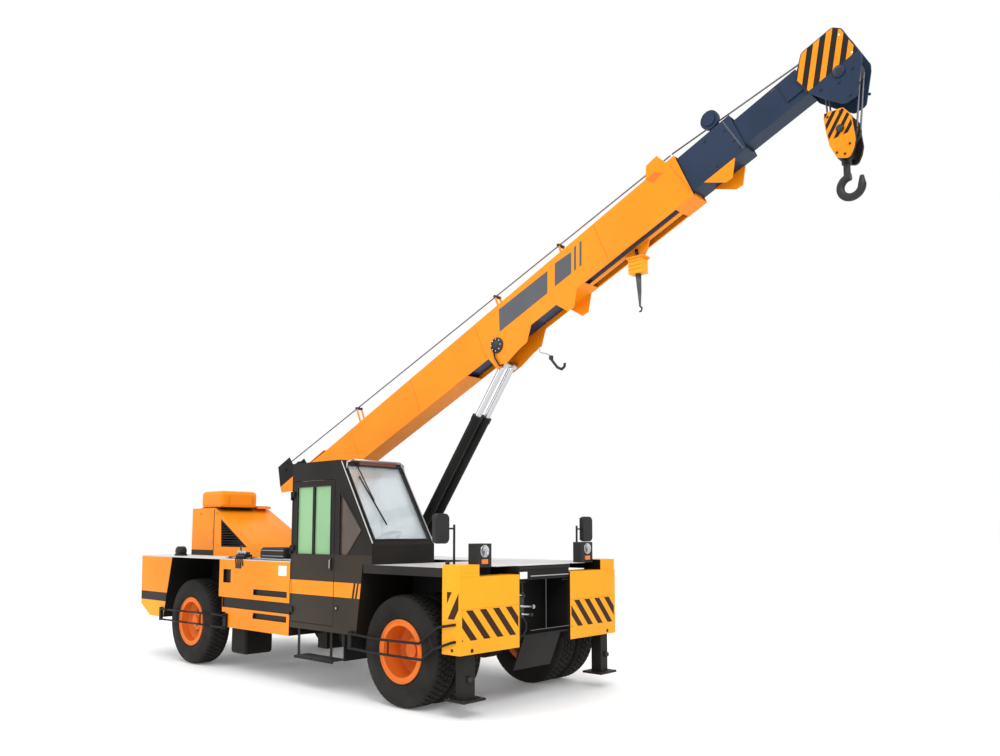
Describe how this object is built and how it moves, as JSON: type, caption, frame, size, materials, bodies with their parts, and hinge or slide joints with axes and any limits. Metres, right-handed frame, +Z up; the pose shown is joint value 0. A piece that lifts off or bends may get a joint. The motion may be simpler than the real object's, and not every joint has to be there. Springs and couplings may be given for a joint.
{
  "type": "mobile crane",
  "caption": "Pick-and-carry mobile crane: ballasted carrier, side cab, telescopic boom on twin lift cylinders, hook block.",
  "frame": {"origin": "on the floor under the middle of the machine's overall length and width", "axes": "+X towards the hook, +Y to the machine's left, +Z up"},
  "size_m": [10.032, 2.646, 5.9721],
  "materials": {
    "orange": "gloss orange paint",
    "black": "semi-gloss black paint",
    "grey": "dark blue-grey paint",
    "tyre": "black tread rubber",
    "ballast": "gloss orange paint on plate",
    "steel": "bare steel",
    "chrome": "hard chrome",
    "iron": "forged and blackened",
    "glass": "clear glass",
    "fabric": "dark seat cloth",
    "plastic": "moulded black plastic"
  },
  "bodies": {
    "carrier": {"front_box_right": "orange", "arch_wall_right": "black", "front_box_left": "orange", "arch_wall_left": "black", "wheel_guards": "black", "headlamps": "plastic", "mirrors": "plastic", "front_axle": "black", "rear_axle": "black", "chassis_frame": "black", "foot_pin": "steel", "rear_body": "ballast", "side_box_right": "orange", "side_box_left": "orange", "side_tank": "black", "deck_box": "black", "cab_step": "steel", "rear_deck": "black", "front_deck": "black", "cab_shell": "black", "cab_glass": "glass", "seat": "fabric", "seat_stand": "black", "console": "plastic", "engine_hood": "orange", "hood_cowl": "orange", "hood_grille": "black", "engine_block": "iron", "mast": "black", "pivot_pin": "steel"},
    "front_wheel_right": {"front_tyres_right": "tyre", "front_rims_right": "orange"},
    "rear_wheel_right": {"rear_tyre_right": "tyre", "rear_rim_right": "orange"},
    "steer_right_body": {"knuckle_right": "black"},
    "jack_right": {"jack_leg_right": "black"},
    "front_wheel_left": {"front_tyres_left": "tyre", "front_rims_left": "orange"},
    "rear_wheel_left": {"rear_tyre_left": "tyre", "rear_rim_left": "orange"},
    "steer_left_body": {"knuckle_left": "black"},
    "jack_left": {"jack_leg_left": "black"},
    "door": {"cab_door": "black", "door_glass": "glass"},
    "boom": {"boom_base": "orange", "winch_frame": "black"},
    "winch": {"winch_drum": "black"},
    "mid": {"boom_mid": "grey", "mid_lug": "orange", "cable_reel": "grey"},
    "fly": {"boom_fly": "grey", "head_cheeks": "grey", "head_sheaves": "iron"},
    "block": {"hook_block": "orange", "block_sheaves": "iron", "hoist_falls": "steel"},
    "load_hook": {"hook": "iron"},
    "barrels": {"lift_barrels": "black"},
    "rods": {"lift_rods": "chrome"}
  },
  "joints": [
    {"name": "front_spin_right", "type": "hinge", "parent": "carrier", "child": "front_wheel_right", "pos_m": [0.667, -0.93, 0.56], "axis": [0, 1, 0], "continuous": true},
    {"name": "steer_right", "type": "hinge", "parent": "carrier", "child": "steer_right_body", "pos_m": [-3.58, -0.93, 0.56], "axis": [0, 0, 1], "range_deg": [-30, 30]},
    {"name": "rear_spin_right", "type": "hinge", "parent": "steer_right_body", "child": "rear_wheel_right", "pos_m": [-3.58, -0.93, 0.56], "axis": [0, 1, 0], "continuous": true},
    {"name": "jack_slide_right", "type": "slide", "parent": "carrier", "child": "jack_right", "axis": [0, 0, 1], "range_m": [-0.15, 0.15]},
    {"name": "front_spin_left", "type": "hinge", "parent": "carrier", "child": "front_wheel_left", "pos_m": [0.667, 0.93, 0.56], "axis": [0, 1, 0], "continuous": true},
    {"name": "steer_left", "type": "hinge", "parent": "carrier", "child": "steer_left_body", "pos_m": [-3.58, 0.93, 0.56], "axis": [0, 0, 1], "range_deg": [-30, 30]},
    {"name": "rear_spin_left", "type": "hinge", "parent": "steer_left_body", "child": "rear_wheel_left", "pos_m": [-3.58, 0.93, 0.56], "axis": [0, 1, 0], "continuous": true},
    {"name": "jack_slide_left", "type": "slide", "parent": "carrier", "child": "jack_left", "axis": [0, 0, 1], "range_m": [-0.15, 0.15]},
    {"name": "luff", "type": "hinge", "parent": "carrier", "child": "boom", "pos_m": [-2.0145, 0, 2.3451], "axis": [0, -1, 0], "range_deg": [-19, 33.5]},
    {"name": "extend_mid", "type": "slide", "parent": "boom", "child": "mid", "axis": [0.91, 0, 0.4147], "range_m": [0, 3.3]},
    {"name": "extend_fly", "type": "slide", "parent": "mid", "child": "fly", "axis": [0.91, 0, 0.4147], "range_m": [0, 3.3]},
    {"name": "hook_swing", "type": "hinge", "parent": "fly", "child": "block", "pos_m": [4.78072, 0, 5.56824], "axis": [0, -1, 0], "range_deg": [-36, 26]},
    {"name": "hook_swivel", "type": "hinge", "parent": "block", "child": "load_hook", "pos_m": [4.775, 0, 4.85], "axis": [0, 0, 1], "continuous": true},
    {"name": "lift_swing", "type": "hinge", "parent": "carrier", "child": "barrels", "pos_m": [-0.993, 0, 0.886], "axis": [0, -1, 0], "range_deg": [-15.3, 26.9]},
    {"name": "lift_stroke", "type": "slide", "parent": "barrels", "child": "rods", "axis": [0.5884, 0, 0.8086], "range_m": [-0.5359, 0.9433]},
    {"name": "winch_turn", "type": "hinge", "parent": "boom", "child": "winch", "pos_m": [-3.15854, 0, 2.63695], "axis": [0, 1, 0], "continuous": true},
    {"name": "door_hinge", "type": "hinge", "parent": "carrier", "child": "door", "pos_m": [-1.249, -1.291, 1.5], "axis": [0, 0, -1], "range_deg": [0, 85]}
  ],
  "couplings": [
    {"joint": "steer_left", "follows": "steer_right", "ratio": 1},
    {"joint": "extend_fly", "follows": "extend_mid", "ratio": 1},
    {"joint": "lift_swing", "follows": "luff", "ratio": 0.8},
    {"joint": "lift_stroke", "follows": "luff", "m_per_rad": 1.61}
  ]
}
